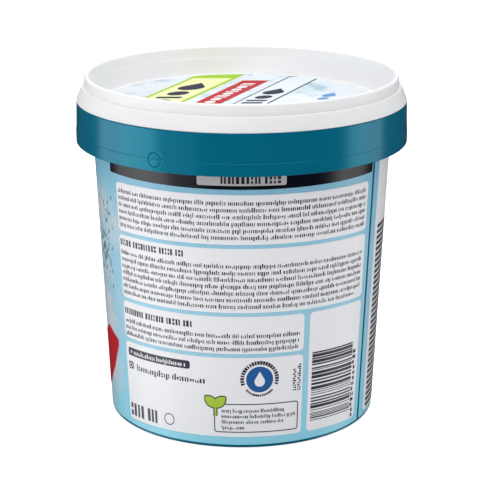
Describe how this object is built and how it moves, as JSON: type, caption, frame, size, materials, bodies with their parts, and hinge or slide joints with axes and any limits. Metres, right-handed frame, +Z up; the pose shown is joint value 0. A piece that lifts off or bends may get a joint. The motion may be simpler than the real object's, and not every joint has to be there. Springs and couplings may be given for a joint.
{
  "type": "stain remover tub",
  "caption": "Round tapered plastic tub with a deep collar, a wrap label and a white snap lid with a recessed top, holding white powder and a scoop.",
  "frame": {"origin": "centre of the foot ring, on the surface that the tub stands on", "axes": "+Z up along the tub's axis, -Y towards the side with the text panels"},
  "size_m": [0.1328, 0.1328, 0.1389],
  "materials": {
    "tub_plastic": "satin moulded polypropylene",
    "label_film": "semi-gloss printed film",
    "print_white": "semi-gloss printed film",
    "print_navy": "semi-gloss printed film",
    "print_grey": "semi-gloss printed film",
    "print_red": "semi-gloss printed film",
    "print_blue": "semi-gloss printed film",
    "print_lime": "semi-gloss printed film",
    "lid_plastic": "satin moulded polypropylene",
    "lid_film": "semi-gloss printed film",
    "powder": "loose white powder",
    "scoop_plastic": "satin moulded polypropylene"
  },
  "bodies": {
    "tub": {"tub": "tub_plastic", "wrap_label": "label_film", "label_panels": "print_white", "label_navy": "print_navy", "label_grey": "print_grey", "label_red": "print_red", "label_blue": "print_blue", "label_lime": "print_lime", "powder": "powder", "scoop": "scoop_plastic"},
    "lid": {"lid": "lid_plastic", "lid_label": "lid_film", "lid_lime": "print_lime", "lid_red": "print_red", "lid_navy": "print_navy"}
  },
  "joints": [
    {"name": "lid_lift", "type": "slide", "parent": "tub", "child": "lid", "axis": [0, 0, 1], "range_m": [0, 0.06]}
  ]
}
